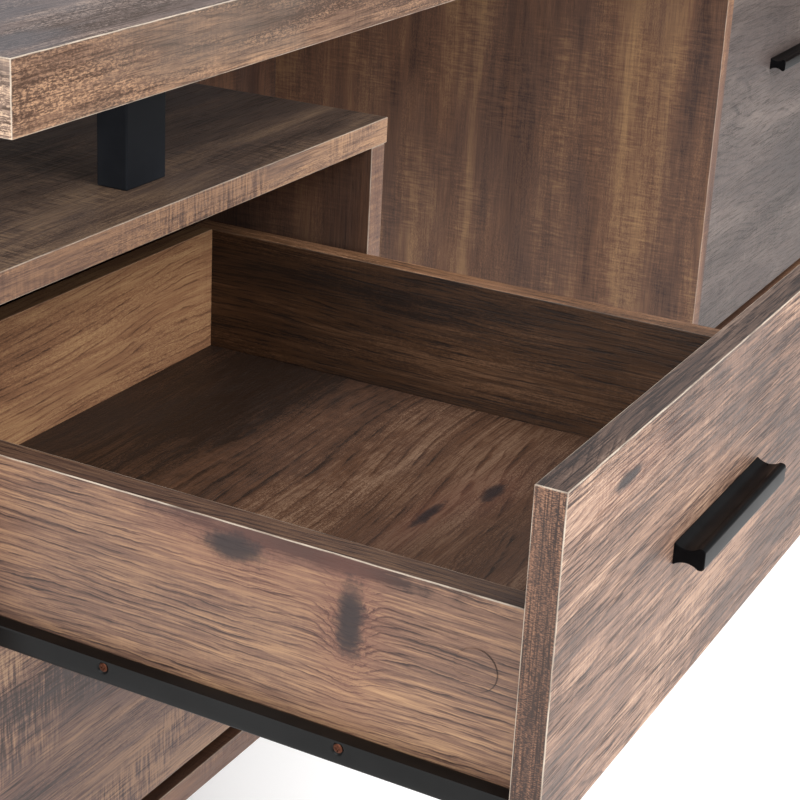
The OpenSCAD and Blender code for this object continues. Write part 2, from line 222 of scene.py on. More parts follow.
def newGroup(name, inputs, outputs):
    # an empty node group with the named inputs and outputs
    tree = bpy.data.node_groups.new(name, "ShaderNodeTree")
    sockets = tree.interface
    for label, kind, value in inputs:
        socket = sockets.new_socket(name=label, in_out="INPUT", socket_type="NodeSocket" + kind)
        if value is not None:
            socket.default_value = value
    for label, kind in outputs:
        sockets.new_socket(name=label, in_out="OUTPUT", socket_type="NodeSocket" + kind)
    given = tree.nodes.new("NodeGroupInput").outputs
    return tree, given, tree.nodes.new("NodeGroupOutput").inputs


# wood

# clouds over the grain: stretch along and across, shift of the sheet, detail, roughness, warp
figureClouds = {
    "wobble": (90, 120, 0, 5.0, 0.7),
    "slow": (1.7, 5.0, 0, 2.0, 0.5),
    "quick": (9.0, 26.0, 5.3, 2.0, 0.5),
    "shake": (85.0, 220.0, 0.7, 3.0, 0.5),
    "thin": (26, 150, 9.1, 3.0, 0.6),
    "hair": (20, 560, 2.7, 4.0, 0.7),
    "pores": (34, 1000, 4.4, 2.0, 0.6),
    "streaks": (5, 120, 7.7, 5.0, 0.65),
    "patches": (3.0, 17.0, 3.1, 5.0, 0.62, 0.45),
    "sawPlace": (9, 14, 6.2, 2.0, 0.5),
    "saw": (480, 45, 8.8, 3.0, 0.65),
    "fleckPlace": (6, 55, 1.9, 3.0, 0.5),
    "flecks": (420, 1150, 0.6, 3.0, 0.7),
    "endFlecks": (1900, 560, 0.9, 3.0, 0.7),
    "greyPlace": (4.3, 12.0, 2.2, 4.0, 0.6),
    "rimBreaks": (45, 45, 0.3, 3.0, 0.5),
}

# smooth steps of the figure: low, high and, where given, the values they are carried to
figureSteps = {
    "knotSoft": (1.5, 0.35),
    "knotCore": (0.7, 0.1),
    "ringBack": (1.0, 0.93),
    "lineThin": (0.3, 0.55, 0.1, 1.0),
    "lineHair": (-0.2, 0.08, 0.35, 1.0),
    "pores": (0.52, 0.62),
    "sawPlace": (0.4, 0.6),
    "fleckPlace": (0.42, 0.58, 0.15, 1.0),
    "flecks": (0.43, 0.59),
    "endFlecks": (0.42, 0.6),
    "greyPlace": (0.42, 0.62),
    "rimBreaks": (0.3, 0.62, 0.25, 1.0),
    "rim": (0.0008, 0.0003),  # metres from the board's edge
}

figure = {
    "wobbleGain": 3.2, "wobbleLimit": 1.6,
    "knotLift": 0.5, "liftFall": -0.4, "haloFall": -0.13, "haloMix": 0.5, "knotDarkness": 0.75,
    "blotShadeFall": -1.0,
    # how far, in metres, each cloud sways the ring field
    "slowSway": 0.2, "quickSway": 0.009, "shakeSway": 0.0024,
    # both sets of rings: scale and start of the dark part
    "ringSets": ((1.0, 0.5), (2.3, 0.56)),
    "ringShift": 0.62, "ringThin": -0.9, "ringSoftness": 0.42, "secondRings": 0.6,
    # what each layer adds to the tone for a strength of 1
    "gains": {"Patches": 2.6, "Streaks": 1.5, "Ring Lines": -0.85, "Hair": 2.2, "Pores": -0.5,
              "Saw Marks": 2.6, "Flecks": 1.0, "End Flecks": 1.0, "Blot And Shade Depth": -0.6},
    # rimColour: the pale edge line, painted highlight of the rounded edge together with the paler edge of
    # the printed sheet
    "greyCover": 0.55, "rimColour": "#c9baa8",
    "rough": 0.52, "hairRough": 0.3, "poreRough": 0.1,
    "poreHeight": -0.6, "lineHeight": -0.5, "hairHeight": 0.9, "sawHeight": 0.5,
    "bumpStrength": 0.35, "bumpDistance": 0.0003, "gloss": 0.42,
}
nowhere = (9.0, 9.0, 0.01)  # a knot or dark patch that lies off the board

# what a board gets where its tone gives no value of its own
oakColours = {"Dark": "#3f2c23", "Mid": "#72584a", "Pale": "#a88a70", "Grey": "#665c5a",
              "Knot Colour": "#231a1b", "Glow": "#6f4236", "Band Tint": "#ffffff", "End Tint": "#ffffff"}
oakValues = {
    "Tone": 0.55, "Band Tone": 0.0, "Patches": 0.5, "Greyness": 0.3, "Streaks": 0.5, "Saw Marks": 0.3,
    "Flecks": 0.2, "End Flecks": 0.0, "Hair": 0.4, "Pores": 0.5, "Rings": 200.0, "Ring Lines": 0.6,
    "Figure": 0.5, "Knot A Stretch": 1.5, "Knot B Stretch": 1.5, "Blot And Shade Stretch": 2.0,
    "Blot And Shade Depth": 0.0, "Glow Depth": 0.5, "Edge Line": 0.8,
}


def spot(tree, given, label, along, across, wobble):
    # squared distance from a spot (along, across, radius) in radii, squeezed along the grain by its
    # stretch, plus wobble x that distance up to a limit
    spotAlong, spotAcross, radius = axesOf(tree, given[label])
    longRadius = calc(tree, "MULTIPLY", radius, given[label + " Stretch"])
    du = calc(tree, "DIVIDE", calc(tree, "SUBTRACT", along, spotAlong), longRadius)
    dv = calc(tree, "DIVIDE", calc(tree, "SUBTRACT", across, spotAcross), radius)
    reach = calc(tree, "ADD", calc(tree, "MULTIPLY", du, du), calc(tree, "MULTIPLY", dv, dv))
    held = calc(tree, "MINIMUM", reach, figure["wobbleLimit"])
    return calc(tree, "ADD", reach, calc(tree, "MULTIPLY", wobble, held)), radius


def oakGroup():
    # ring field = place across the grain + sway + lift at knots, with dark lines where a ring turns over;
    # tone = sum of layers, from Dark through Mid to Pale. Grain is metres along and across the grain and
    # the sheet number; Edge is both distances to the board's edges, then 1 on a long edge, 2 on an end
    inputs = [("Grain", "Vector", None), ("Edge", "Vector", None)]
    inputs += [(label, "Vector", nowhere) for label in ("Knot A", "Knot B", "Blot And Shade")]
    inputs += [(label, "Color", linear(value)) for label, value in oakColours.items()]
    inputs += [(label, "Float", value) for label, value in oakValues.items()]
    outputs = [("Color", "Color"), ("Roughness", "Float"), ("Height", "Float")]
    tree, given, made = newGroup("oakFigure", inputs, outputs)
    grain = given["Grain"]

    def times(first, second, clamp=False):
        # first x second
        return calc(tree, "MULTIPLY", first, second, clamp=clamp)

    def gain(value, by, base, clamp=False):
        # value x by + base
        return calc(tree, "MULTIPLY_ADD", value, by, base, clamp=clamp)

    def patch(name):
        # the named cloud over the grain, 0 to 1
        stretchAlong, stretchAcross, sheetShift, *noise = figureClouds[name]
        place = stretch(tree, grain, (stretchAlong, stretchAcross, 1), (0, 0, sheetShift))
        return cloud(tree, place, *noise)

    def centred(value):
        # value - 0.5, so that its mean is about zero
        return calc(tree, "SUBTRACT", value, 0.5)

    def step(name, value):
        # the named smooth step of the value
        return ease(tree, value, *figureSteps[name])

    def fading(reach, rate):
        # e to the rate x reach: 1 at the spot's middle, falling outwards
        return calc(tree, "EXPONENT", times(calc(tree, "MAXIMUM", reach, 0.0), rate))

    along, across, _ = axesOf(tree, grain)
    gapU, gapV, edgeKind = axesOf(tree, given["Edge"])
    band = calc(tree, "MINIMUM", edgeKind, 1.0)
    ends = calc(tree, "SUBTRACT", edgeKind, 1.0, clamp=True)

    # each knot lifts the ring field by a bump, so that the lines part round it
    wobble = times(centred(patch("wobble")), figure["wobbleGain"])
    knotMasks = []
    lift = 0.0
    for label in ("Knot A", "Knot B"):
        reach, radius = spot(tree, given, label, along, across, wobble)
        bump = fading(reach, figure["liftFall"])
        lift = calc(tree, "ADD", lift, times(bump, times(radius, figure["knotLift"])))
        halo = fading(reach, figure["haloFall"])
        knotMasks.append((step("knotSoft", reach), step("knotCore", reach), halo))
    # the third spot darkens the wood round it: painted shade on the upper drawer's floor, a dark streak in
    # the print on the upper drawer's left side
    blotShadeReach, _ = spot(tree, given, "Blot And Shade", along, across, wobble)
    blotShade = fading(blotShadeReach, figure["blotShadeFall"])

    field = gain(centred(patch("slow")), times(given["Figure"], figure["slowSway"]), across)
    field = gain(centred(patch("quick")), figure["quickSway"], field)
    field = gain(centred(patch("shake")), figure["shakeSway"], field)
    field = calc(tree, "ADD", field, lift)

    # each ring darkens slowly from its start and stops at once; a thin place starts later
    thin = patch("thin")
    rings = []
    for scale, start in figure["ringSets"]:
        phase = calc(tree, "FRACT", times(field, times(given["Rings"], scale)))
        low = gain(thin, figure["ringThin"], start + figure["ringShift"])
        rise = ease(tree, phase, low, calc(tree, "ADD", low, figure["ringSoftness"]))
        rings.append(times(rise, step("ringBack", phase)))
    line = calc(tree, "MAXIMUM", rings[0], times(rings[1], figure["secondRings"]))
    line = times(line, step("lineThin", thin))
    hair = centred(patch("hair"))
    line = times(line, step("lineHair", hair))

    pores = step("pores", patch("pores"))
    saw = times(centred(patch("saw")), step("sawPlace", patch("sawPlace")))
    flecks = times(centred(step("flecks", patch("flecks"))), step("fleckPlace", patch("fleckPlace")))
    endFlecks = times(centred(step("endFlecks", patch("endFlecks"))), ends)
    layers = {
        "Patches": centred(patch("patches")), "Streaks": centred(patch("streaks")),
        "Ring Lines": line, "Hair": hair, "Pores": pores, "Saw Marks": saw,
        "Flecks": flecks, "End Flecks": endFlecks, "Blot And Shade Depth": blotShade,
    }
    tone = gain(band, given["Band Tone"], given["Tone"])
    for label, layerGain in figure["gains"].items():
        tone = gain(times(layers[label], layerGain), given[label], tone)

    # the tone's lower half runs from Dark to Mid, its upper half from Mid to Pale
    low = mixColour(tree, times(tone, 2.0, clamp=True), given["Dark"], given["Mid"])
    wood = mixColour(tree, gain(tone, 2.0, -1.0, clamp=True), low, given["Pale"])
    greyAmount = times(step("greyPlace", patch("greyPlace")), given["Greyness"])
    greyed = mixColour(tree, 1.0, wood, given["Grey"], "SOFT_LIGHT")
    wood = mixColour(tree, greyAmount, wood, greyed)
    wood = mixColour(tree, times(greyAmount, figure["greyCover"]), wood, given["Grey"])
    for soft, core, halo in knotMasks:
        glowing = mixColour(tree, figure["haloMix"], wood, given["Glow"])
        wood = mixColour(tree, times(halo, given["Glow Depth"]), wood, glowing)
        for mask in (soft, core):
            wood = mixColour(tree, times(mask, figure["knotDarkness"]), wood, given["Knot Colour"])
    tint = mixColour(tree, ends, given["Band Tint"], given["End Tint"])
    wood = mixColour(tree, band, wood, mixColour(tree, 1.0, wood, tint, "MULTIPLY"))

    # a pale line along the board's edges, broken up in places by a cloud: painted highlight where the
    # rounded edge catches the light, together with the paler, chipped edge of the printed sheet
    gap = calc(tree, "MINIMUM", gapU, gapV)
    rim = times(step("rim", gap), times(step("rimBreaks", patch("rimBreaks")), given["Edge Line"]))
    wood = mixColour(tree, rim, wood, linear(figure["rimColour"]))
    tree.links.new(wood, made["Color"])
    rough = gain(pores, figure["poreRough"], gain(hair, figure["hairRough"], figure["rough"]))
    tree.links.new(rough, made["Roughness"])
    height = gain(pores, figure["poreHeight"], times(line, figure["lineHeight"]))
    height = gain(hair, figure["hairHeight"], height)
    height = gain(saw, figure["sawHeight"], height)
    tree.links.new(height, made["Height"])
    return tree


oakFigure = oakGroup()


def woodMaterial(name, values):
    # the oak figure over the piece's own grain; values set its inputs, and hex strings become colours
    material, tree, shader = newMaterial(name)
    wood = tree.nodes.new("ShaderNodeGroup")
    wood.node_tree = oakFigure
    for label in ("Grain", "Edge"):
        source = tree.nodes.new("ShaderNodeAttribute")
        source.attribute_name = label.lower() + "Place"
        attach(tree, wood.inputs[label], source.outputs["Vector"])
    for label, value in values.items():
        wood.inputs[label].default_value = linear(value) if isinstance(value, str) else value
    normal = roughen(tree, wood.outputs["Height"], figure["bumpStrength"], figure["bumpDistance"])
    fill(tree, shader, {"Base Color": wood.outputs["Color"], "Roughness": wood.outputs["Roughness"],
                        "Normal": normal, "Specular IOR Level": figure["gloss"]})
    return material


# mesh helpers

def meshObject(name, points, faces, corners=None, sharp=None):
    # corners holds a value for each corner of each face; edges over the sharp angle stay crisp
    mesh = bpy.data.meshes.new(name)
    mesh.from_pydata(points.tolist(), [], [list(map(int, f)) for f in faces])
    mesh.update()
    mesh.shade_smooth()
    if corners:
        for label, values in corners.items():
            if label == "normal":
                continue
            layer = mesh.attributes.new(label, "FLOAT_VECTOR", "CORNER")
            flat = np.ascontiguousarray(values, dtype=np.float32).ravel()
            layer.data.foreach_set("vector", flat)
        if "normal" in corners:
            mesh.normals_split_custom_set(corners["normal"].tolist())
    if sharp is not None:
        mesh.set_sharp_from_angle(angle=math.radians(sharp))
    thing = bpy.data.objects.new(name, mesh)
    bpy.context.collection.objects.link(thing)
    return thing


def gridQuads(rows, columns):
    # corner numbers of every cell of a rows x columns grid
    start = (np.arange(rows - 1)[:, None] * columns + np.arange(columns - 1)[None, :]).ravel()
    return np.stack([start, start + columns, start + columns + 1, start + 1], axis=1)


def weld(points, faces):
    # points that coincide to a ten-thousandth of a millimetre become one
    keys = np.round(points * 1e7).astype(np.int64)
    _, first, back = np.unique(keys, axis=0, return_index=True, return_inverse=True)
    return points[first], back.ravel()[faces]


blockSheets = {"axis": 3.7, "side": 1.3}  # how far apart the faces of a block lie in the printed sheet


def roundedBlock(low, high, radius, grainAxis=0, sheet=0.0, steps=3):
    # each point of a box's surface is pulled to the radius from the nearest point of a box smaller by
    # the radius on each side; wide faces carry 0 in the third edge value, long edges 1 and ends 2
    low, high = np.array(low, float), np.array(high, float)
    bend = radius * (1 - np.tan(np.radians(45 * np.arange(steps, -1, -1) / steps)))
    lines = [np.concatenate([low[k] + bend, [(low[k] + high[k]) / 2], high[k] - bend[::-1]])
             for k in range(3)]
    points, normals, grains, edges, faces = [], [], [], [], []
    count = 0
    for axis in range(3):
        u, v = (axis + 1) % 3, (axis + 2) % 3
        gu, gv = (g.ravel() for g in np.meshgrid(lines[u], lines[v], indexing="ij"))
        quads = gridQuads(len(lines[u]), len(lines[v]))
        for side in (-1, 1):
            p = np.zeros((len(gu), 3))
            p[:, u], p[:, v] = gu, gv
            p[:, axis] = high[axis] if side > 0 else low[axis]
            core = np.clip(p, low + radius, high - radius)
            d = p - core
            n = d / np.linalg.norm(d, axis=1, keepdims=True)
            p = core + radius * n
            run, other = (grainAxis, 3 - grainAxis - axis) if axis != grainAxis else (u, v)
            if axis == grainAxis and high[v] - low[v] > high[u] - low[u]:
                run, other = v, u
            faceSheet = sheet + blockSheets["axis"] * axis + blockSheets["side"] * side
            grains.append(np.stack([p[:, run], p[:, other], np.full(len(p), faceSheet)], axis=1))
            isBand = (2.0 if axis == grainAxis else 1.0) if axis != np.argmin(high - low) else 0.0
            gapU = np.minimum(gu - low[u], high[u] - gu)
            gapV = np.minimum(gv - low[v], high[v] - gv)
            edges.append(np.stack([gapU, gapV, 0 * gu + isBand], axis=1))
            points.append(p)
            normals.append(n)
            faces.append((quads if side > 0 else quads[:, ::-1]) + count)
            count += len(p)
    points, normals, grains, edges = (np.concatenate(a) for a in (points, normals, grains, edges))
    faces = np.concatenate(faces)
    flat = faces.ravel()
    corners = {"normal": normals[flat], "grainPlace": grains[flat], "edgePlace": edges[flat]}
    points, faces = weld(points, faces)
    return points, faces, corners


def joinParts(parts):
    # stacks (points, faces, corners) parts into one
    points, faces, offset = [], [], 0
    for p, f, c in parts:
        points.append(p)
        faces.extend([[int(k) + offset for k in face] for face in f])
        offset += len(p)
    corners = None
    if parts[0][2]:
        corners = {k: np.concatenate([c[k] for p, f, c in parts]) for k in parts[0][2]}
    return np.concatenate(points), faces, corners


# where the along, first and second cross values go for a piece that lies on X, Y or Z
axisOrder = {0: [0, 1, 2], 1: [2, 0, 1], 2: [1, 2, 0]}


def rowQuads(rows, nextRows, count):
    # four-sided faces between each row of count points and its next row, closed round the row
    here = np.arange(count)[None, :]
    after = (here + 1) % count
    start, stop = rows[:, None] * count, nextRows[:, None] * count
    quads = np.stack([start + here, start + after, stop + after, stop + here], axis=-1)
    return quads.reshape(-1, 4).tolist()


def endFaces(rows, count):
    # one face on the first row of points and one on the last
    return [list(range(count)), list(range((rows - 1) * count, rows * count))]


def spinProfile(profile, centre, axis, steps=32, ring=False):
    # (distance along, radius) pairs turned round the axis; a ring's profile is a closed loop, a disc
    # gets two end faces
    profile = np.asarray(profile, float)
    turn = np.arange(steps) * 2 * np.pi / steps
    along = np.repeat(profile[:, 0], steps)
    cross = [np.outer(profile[:, 1], share).ravel() for share in (np.cos(turn), np.sin(turn))]
    points = np.stack([along, *cross], axis=1)[:, axisOrder[axis]] + np.asarray(centre, float)
    rows = np.arange(len(profile) if ring else len(profile) - 1)
    faces = rowQuads(rows, (rows + 1) % len(profile), steps)
    return points, faces if ring else faces + endFaces(len(profile), steps), None


def barAlong(axis, outline, stations, chamfer=0.0):
    # a closed outline in the other two axes is carried along the axis through the stations; the two end
    # rows shrink by the chamfer
    outline = np.asarray(outline, float)
    back, ahead = np.roll(outline, 1, axis=0), np.roll(outline, -1, axis=0)
    tangent = ahead - back
    length = np.linalg.norm(tangent, axis=1, keepdims=True) + 1e-12
    normal = np.stack([tangent[:, 1], -tangent[:, 0]], axis=1) / length
    area = np.sum(outline[:, 0] * ahead[:, 1] - ahead[:, 0] * outline[:, 1])
    inner = outline - normal * chamfer * np.sign(area)
    stations = np.asarray(stations, float)
    if chamfer:
        first, last = stations[0], stations[-1]
        stations = np.concatenate([[first, first + chamfer], stations[1:-1], [last - chamfer, last]])
    rows = len(stations)
    count = len(outline)
    flat = np.tile(outline, (rows, 1)).reshape(rows, count, 2)
    if chamfer:
        flat[0], flat[-1] = inner, inner
    points = np.zeros((rows, count, 3))
    points[:, :, axis] = stations[:, None]
    points[:, :, (axis + 1) % 3] = flat[:, :, 0]
    points[:, :, (axis + 2) % 3] = flat[:, :, 1]
    faces = rowQuads(np.arange(rows - 1), np.arange(1, rows), count) + endFaces(rows, count)
    return points.reshape(-1, 3), faces, None


def outward(thing):
    # turns every face of a closed piece outwards
    work = bmesh.new()
    work.from_mesh(thing.data)
    bmesh.ops.recalc_face_normals(work, faces=work.faces)
    work.to_mesh(thing.data)
    work.free()
    return thing


def placePiece(thing, node, material, *more):
    # the piece takes the material, stands in for its node, which is hidden with any more nodes given, and
    # rides on that node's body
    thing.data.materials.clear()
    thing.data.materials.append(material)
    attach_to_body(thing, bodyOf(node))
    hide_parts(node, *more)
    return thing


# boards

# tones of the printed oak, by name
oakTones = {
    "worktop": {
        "Dark": "#39291f", "Mid": "#675650", "Pale": "#a08c7e", "Grey": "#6a6a70", "Greyness": 0.6,
        "Patches": 0.7, "Saw Marks": 0.2, "Flecks": 0.68, "Streaks": 0.6, "Hair": 0.5, "Ring Lines": 0.5,
        "Band Tint": (1.28, 1.0, 0.7, 1), "End Tint": (1.8, 1.68, 1.42, 1)},
    "shelf": {
        "Dark": "#2f221a", "Mid": "#604c40", "Pale": "#94795f", "Greyness": 0.35,
        "Tone": 0.59, "Patches": 0.9, "Saw Marks": 0.8, "Flecks": 0.25, "Pores": 0.35,
        "Ring Lines": 0.2, "Band Tint": (1.6, 1.42, 1.3, 1), "Band Tone": 0.08, "Edge Line": 0.6},
    "warmSide": {
        "Dark": "#33211a", "Mid": "#755645", "Pale": "#b28c68", "Greyness": 0.2,
        "Tone": 0.59, "Saw Marks": 0.05, "Flecks": 0.05, "Streaks": 0.35, "Hair": 0.6,
        "Pores": 0.35, "Rings": 250.0, "Ring Lines": 0.9, "Figure": 0.35,
        "Band Tint": (0.4, 0.38, 0.38, 1), "Glow Depth": 0.8},
    "drawerFront": {
        "Dark": "#3d2b24", "Mid": "#866755", "Pale": "#c3a188", "Grey": "#74665f", "Greyness": 0.5,
        "Tone": 0.59, "Patches": 0.9, "Saw Marks": 0.25, "Flecks": 0.1, "Streaks": 0.45, "Hair": 0.9,
        "Pores": 0.9, "Rings": 190.0, "Figure": 1.1, "End Flecks": 0.75,
        "Band Tint": (0.42, 0.45, 0.5, 1), "End Tint": (0.58, 0.47, 0.4, 1)},
    "drawerBack": {
        "Dark": "#4a3021", "Mid": "#93694b", "Pale": "#c29a6e", "Greyness": 0.1,
        "Tone": 0.64, "Saw Marks": 0.1, "Hair": 0.3, "Pores": 0.1,
        "Band Tint": (0.5, 0.5, 0.5, 1), "Edge Line": 0.1},
    # painted shade: a darker copy of the drawer-side oak for faces that lie in shade inside the drawers
    # and at the cabinets' backs; its strong Band Tint gives the lit top edges back their light
    "shadedInside": {
        "Dark": "#1e0f06", "Mid": "#4a301c", "Pale": "#7b5a41", "Greyness": 0.05,
        "Tone": 0.46, "Patches": 0.6, "Saw Marks": 0.1,
        "Band Tint": (2.9, 3.2, 3.7, 1), "Edge Line": 0.1},
    "drawerFloor": {
        "Dark": "#24160d", "Mid": "#563a29", "Pale": "#9a7c64", "Greyness": 0.1,
        "Tone": 0.6, "Saw Marks": 0.1, "Streaks": 0.15, "Hair": 0.2, "Pores": 0.25,
        "Rings": 75.0, "Figure": 1.2},
    "cabinet": {
        "Dark": "#402b23", "Mid": "#74533f", "Pale": "#a8835c", "Greyness": 0.2,
        "Tone": 0.5, "Patches": 0.7, "Saw Marks": 0.4, "Streaks": 0.35, "Hair": 0.25, "Pores": 0.2,
        "Ring Lines": 0.15, "Band Tint": (1.1, 1.1, 1.15, 1), "Edge Line": 0.5},
    "coolFront": {
        "Dark": "#3c3330", "Mid": "#625752", "Pale": "#85776f", "Greyness": 0.55,
        "Tone": 0.47, "Patches": 0.6, "Rings": 130.0, "Figure": 1.2, "Edge Line": 0.4},
    "lowerFront": {
        "Dark": "#33231d", "Mid": "#755647", "Pale": "#aa8768", "Grey": "#6a5d5c", "Greyness": 0.4,
        "Tone": 0.56, "Patches": 1.1, "Saw Marks": 1.1, "Hair": 0.8, "Pores": 0.6, "Ring Lines": 0.4},
}

# node: grain axis, tone, changes to the tone
boards = {
    "main_top": (0, "worktop", {}),
    "return_top": (1, "worktop", {}),
    "modesty_panel": (2, "cabinet", {"Tone": 0.2}),
    "return_modesty": (1, "cabinet", {}),
}
for cab in ("cab_a", "cab_b"):
    boards[cab + "_top"] = (0, "shelf", {})
    boards[cab + "_left"] = (2, "cabinet", {})
    boards[cab + "_right"] = (2, "cabinet", {"Tone": 0.4})
    boards[cab + "_bottom"] = (0, "cabinet", {"Tone": 0.42})
    # the cabinet backs take the painted-shade copy of the oak
    boards[cab + "_back"] = (2, "shadedInside", {})
drawers = ("upper", "lower", "file")
for drawer, tone in zip(drawers, ("drawerFront", "lowerFront", "coolFront")):
    boards[drawer + "_front"] = (0, tone, {})
    boards[drawer + "_side_left"] = (1, "warmSide", {})
    # the far drawer side takes the painted-shade copy of the side oak
    boards[drawer + "_side_right"] = (1, "shadedInside", {})
    boards[drawer + "_back"] = (0, "drawerBack", {})
    boards[drawer + "_bottom"] = (0, "drawerFloor", {})
boards["cab_b_top"][2].update({"Tone": 0.5})
boards["upper_side_left"][2].update({
    "Patches": 0.4,
    "Knot A": (0.014, 0.5235, 0.008), "Knot A Stretch": 2.4,
    "Knot B": (-0.052, 0.503, 0.021), "Knot B Stretch": 0.36,
    "Blot And Shade": (-0.03, 0.532, 0.0055), "Blot And Shade Stretch": 13.0, "Blot And Shade Depth": 1.5,
})
boards["upper_front"][2].update({
    "Knot A": (-0.957, 0.5825, 0.0038), "Knot A Stretch": 5.5,
    "Blot And Shade": (-0.74, 0.535, 0.03), "Blot And Shade Stretch": 3.0, "Blot And Shade Depth": 0.5,
})
# the upper drawer's floor: two knots, and a wide dark patch that is painted shade, darker where the
# cabinet and worktop shade the floor
boards["upper_bottom"][2].update({
    "Knot A": (-0.741, 0.003, 0.006), "Knot A Stretch": 2.5,
    "Knot B": (-0.79, 0.022, 0.004), "Knot B Stretch": 5.0,
    "Blot And Shade": (-0.72, 0.25, 0.11), "Blot And Shade Stretch": 3.5, "Blot And Shade Depth": 1.0,
})

boardShape = {"edgeRadius": 0.0006, "sheetStep": 5.3}
boardSheet = {}
for number, (node, (grainAxis, tone, changes)) in enumerate(boards.items()):
    low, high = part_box(node)
    values = dict(oakTones[tone])
    values.update(changes)
    boardSheet[node] = boardShape["sheetStep"] * (number + 1)
    block = roundedBlock(low, high, boardShape["edgeRadius"], grainAxis, boardSheet[node])
    piece = meshObject(node + "Board", *block)
    placePiece(piece, node, woodMaterial(node + "Oak", values))
print("boards made:", len(boards))


# metal

coat = {
    "bumpStretch": 900.0, "smearStretch": 14.0, "smearStep": (0.35, 0.7), "paler": 1.48, "lift": 0.004,
    "smearRough": 0.25, "smearMean": 0.12, "bumpStrength": 0.5, "bumpDistance": 0.00002,
}


def metalMaterial(name, colour, rough, metallic=0.0, gloss=0.5):
    # fine grain in the surface; slow clouds mix a paler colour and move the roughness round its mean
    material, tree, shader = newMaterial(name)
    place = tree.nodes.new("ShaderNodeTexCoord").outputs["Object"]
    grain = cloud(tree, stretch(tree, place, (coat["bumpStretch"],) * 3), 2.0, 0.6)
    smear = cloud(tree, stretch(tree, place, (coat["smearStretch"],) * 3), 4.0, 0.6)
    base = linear(colour)
    paler = tuple(min(1.0, c * coat["paler"] + coat["lift"]) for c in base[:3]) + (1.0,)
    shade = mixColour(tree, ease(tree, smear, *coat["smearStep"]), base, paler)
    meanRough = rough - coat["smearMean"]
    roughness = calc(tree, "MULTIPLY_ADD", smear, coat["smearRough"], meanRough)
    normal = roughen(tree, grain, coat["bumpStrength"], coat["bumpDistance"])
    fill(tree, shader, {"Base Color": shade, "Roughness": roughness, "Normal": normal,
                        "Metallic": metallic, "Specular IOR Level": gloss})
    return material


blackSteel = metalMaterial("blackSteel", "#1d1f23", 0.5, gloss=0.06)
runnerBlack = metalMaterial("runnerBlack", "#070707", 0.35, gloss=0.16)
handleBlack = metalMaterial("handleBlack", "#030304", 0.3, gloss=0.06)
bronzeZinc = metalMaterial("bronzeZinc", "#4a2c20", 0.4, 1.0)
whiteNylon = metalMaterial("whiteNylon", "#cfccc4", 0.45)
blackPlastic = metalMaterial("blackPlastic", "#161618", 0.55)


def finish(name, node, material, parts, sharp=34.0):
    # joins closed parts into one piece, faces outwards
    points, faces, corners = joinParts(parts)
    return placePiece(outward(meshObject(name, points, faces, corners, sharp)), node, material)


def steelBlocks(name, node, spans, grainAxis, radius, steps):
    # joins one rounded block for each (near, far) span into one black piece
    blocks = [roundedBlock(near, far, radius, grainAxis, 0, steps) for near, far in spans]
    return placePiece(meshObject(name, *joinParts(blocks)), node, blackSteel)


# handle: a bar with two scooped faces and a rounded lip
handle = {
    "reach": 0.017, "halfHeight": 0.006, "halfWaist": 0.00375, "scoopRadius": 0.010, "scoopPlace": 0.42,
    "lipRadius": 0.0021, "endChamfer": 0.0004, "baseRadius": 0.0005, "baseRun": 0.4,
    "screwSpread": 0.048, "screwRadius": 0.004, "screwHeight": 0.0023, "sharp": 40,
}


def handleOutline(h):
    # base corner, scoop arc and the lip's quarter round, then mirrored; the arc ends where its circle
    # meets the half height: sine = root(r2 - (waist + r - half)2) / r
    r = h["scoopRadius"]
    half = math.asin(math.sqrt(r ** 2 - (h["halfWaist"] + r - h["halfHeight"]) ** 2) / r)
    sweep = np.linspace(-half, half, 19)
    out = h["scoopPlace"] * h["reach"] + r * np.sin(sweep)
    up = h["halfWaist"] + r * (1 - np.cos(sweep))
    turn = np.linspace(np.pi / 2, 0, 9)
    lipOut = h["reach"] - h["lipRadius"] * (1 - np.cos(turn))
    lipUp = h["halfHeight"] - h["lipRadius"] * (1 - np.sin(turn))
    base = [[0.0, h["halfHeight"] - h["baseRadius"]], [h["baseRadius"] * h["baseRun"], h["halfHeight"]]]
    upper = np.concatenate([base, np.stack([out, up], axis=1), np.stack([lipOut, lipUp], axis=1)])
    return np.concatenate([upper, upper[::-1] * [1, -1]])


for drawer in drawers:
    low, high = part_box(drawer + "_handle")
    middle = (low.z + high.z) / 2
    outline = handleOutline(handle)
    outline = np.stack([high.y - outline[:, 0], middle + outline[:, 1]], axis=1)
    ends = np.linspace(low.x, high.x, 5)
    bar = barAlong(0, outline, ends, handle["endChamfer"])
    finish(drawer + "Handle", drawer + "_handle", handleBlack, [bar], handle["sharp"])
print("handles made")

# runners: folded strip, dished round each screw, with the roller pins
runner = {
    "steel": 0.0012, "bend": 0.0010, "screwHeight": 0.008, "screwPlaces": (0.096, 0.237, 0.400),
    "drawerFlange": 0.0088, "cabinetFlange": 0.0095, "cabinetSetback": 0.002,
    "dishRadius": 0.0036, "dishFlat": 0.0029, "dishDepth": 0.0009, "dishReach": 0.0045,
    "fineStep": 0.0005, "fineSteps": 9,
    "pinRadius": 0.002, "headRadius": 0.0032, "headRim": 0.8, "headStops": (0, 0.0002, 0.0005, 0.0007),
    "rollerRadius": 0.0075, "rollerWidth": 0.007, "sidePlay": 0.0004, "rollerEnd": 0.020,
    "rearHeight": 0.0071, "frontHeight": 0.0093, "bore": 0.00205,
    "rimRadius": 0.0008, "rimStep": 0.0003, "groove": 0.0004, "grooveStops": (0.45, 0.5, 0.8, 0.85),
    "drawerScrew": (0.0026, 0.0010), "cabinetScrew": (0.0034, 0.0015),  # radius, height
    "stripSharp": 50, "rollerSharp": 30, "screwSharp": 40,
}


